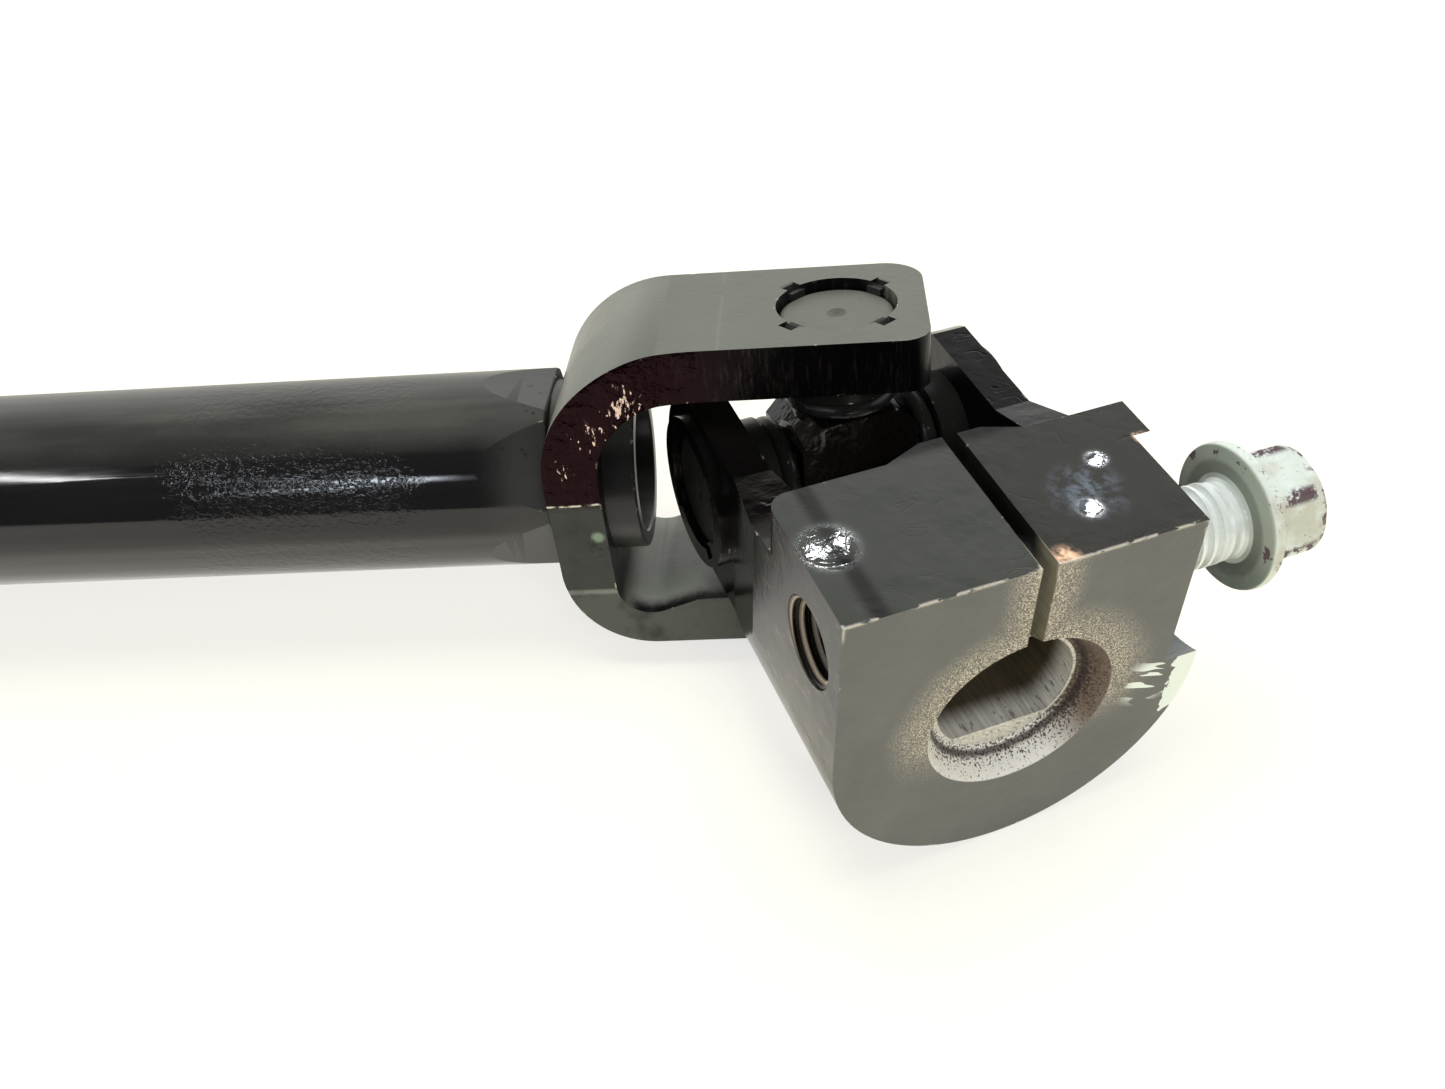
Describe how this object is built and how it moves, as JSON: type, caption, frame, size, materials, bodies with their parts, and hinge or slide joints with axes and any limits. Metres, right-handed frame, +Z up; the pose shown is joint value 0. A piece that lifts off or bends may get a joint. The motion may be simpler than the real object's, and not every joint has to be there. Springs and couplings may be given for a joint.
{
  "type": "intermediate steering shaft",
  "caption": "Telescoping steering shaft with a needle-bearing universal joint and a split clamp yoke with a pinch bolt at each end.",
  "frame": {"origin": "centre of the upper clamp bore, on the axis of the tube", "axes": "+X along the tube from the upper clamp to the lower joint, +Z up from the surface the part lies on"},
  "size_m": [0.3623, 0.0794, 0.0503],
  "materials": {
    "black_coat": "semi-gloss",
    "bare_steel": "machined",
    "bearing_steel": "ground",
    "zinc_plate": "satin",
    "seal_rubber": "matt",
    "slide_plastic": "satin"
  },
  "bodies": {
    "tube_assembly": {"outer_tube": "black_coat", "lower_strap_yoke": "black_coat", "front_slide_bush": "slide_plastic", "rear_slide_bush": "slide_plastic", "wiper_cap": "seal_rubber", "lower_top_cup": "bearing_steel", "lower_bottom_cup": "bearing_steel", "lower_top_needles": "bearing_steel", "lower_bottom_needles": "bearing_steel"},
    "lower_cross": {"lower_cross": "bare_steel", "lower_top_seal": "seal_rubber", "lower_bottom_seal": "seal_rubber", "lower_left_seal": "seal_rubber", "lower_right_seal": "seal_rubber"},
    "lower_clamp": {"lower_clamp_yoke": "black_coat", "lower_left_cup": "bearing_steel", "lower_right_cup": "bearing_steel", "lower_left_needles": "bearing_steel", "lower_right_needles": "bearing_steel"},
    "lower_bolt": {"lower_pinch_bolt": "zinc_plate"},
    "sliding_shaft": {"inner_shaft": "bare_steel", "upper_strap_yoke": "black_coat", "upper_top_cup": "bearing_steel", "upper_bottom_cup": "bearing_steel", "upper_top_needles": "bearing_steel", "upper_bottom_needles": "bearing_steel"},
    "upper_cross": {"upper_cross": "bare_steel", "upper_top_seal": "seal_rubber", "upper_bottom_seal": "seal_rubber", "upper_left_seal": "seal_rubber", "upper_right_seal": "seal_rubber"},
    "upper_clamp": {"upper_clamp_yoke": "black_coat", "upper_left_cup": "bearing_steel", "upper_right_cup": "bearing_steel", "upper_left_needles": "bearing_steel", "upper_right_needles": "bearing_steel"},
    "upper_bolt": {"upper_pinch_bolt": "zinc_plate"}
  },
  "joints": [
    {"name": "telescope", "type": "slide", "parent": "tube_assembly", "child": "sliding_shaft", "axis": [-1, 0, 0], "range_m": [-0.03, 0.025]},
    {"name": "lower_strap_hinge", "type": "hinge", "parent": "tube_assembly", "child": "lower_cross", "pos_m": [0.29342, 0, 0], "axis": [0, 0.1977, 0.9803], "range_deg": [-8.4, 141.6]},
    {"name": "lower_clamp_hinge", "type": "hinge", "parent": "lower_cross", "child": "lower_clamp", "pos_m": [0.29342, 0, 0], "axis": [0.9178, 0.3893, -0.0785], "range_deg": [-28.3, 5.7]},
    {"name": "lower_bolt_slide", "type": "slide", "parent": "lower_clamp", "child": "lower_bolt", "axis": [0.9178, 0.3893, -0.0785], "range_m": [-0.0101, 0.008]},
    {"name": "upper_strap_hinge", "type": "hinge", "parent": "sliding_shaft", "child": "upper_cross", "pos_m": [0.03843, 0, 0], "axis": [0, 0, 1], "range_deg": [-40, 40]},
    {"name": "upper_clamp_hinge", "type": "hinge", "parent": "upper_cross", "child": "upper_clamp", "pos_m": [0.03843, 0, 0], "axis": [0, 1, 0], "range_deg": [-30, 30]},
    {"name": "upper_bolt_slide", "type": "slide", "parent": "upper_clamp", "child": "upper_bolt", "axis": [0, -1, 0], "range_m": [-0.0101, 0.008]}
  ]
}
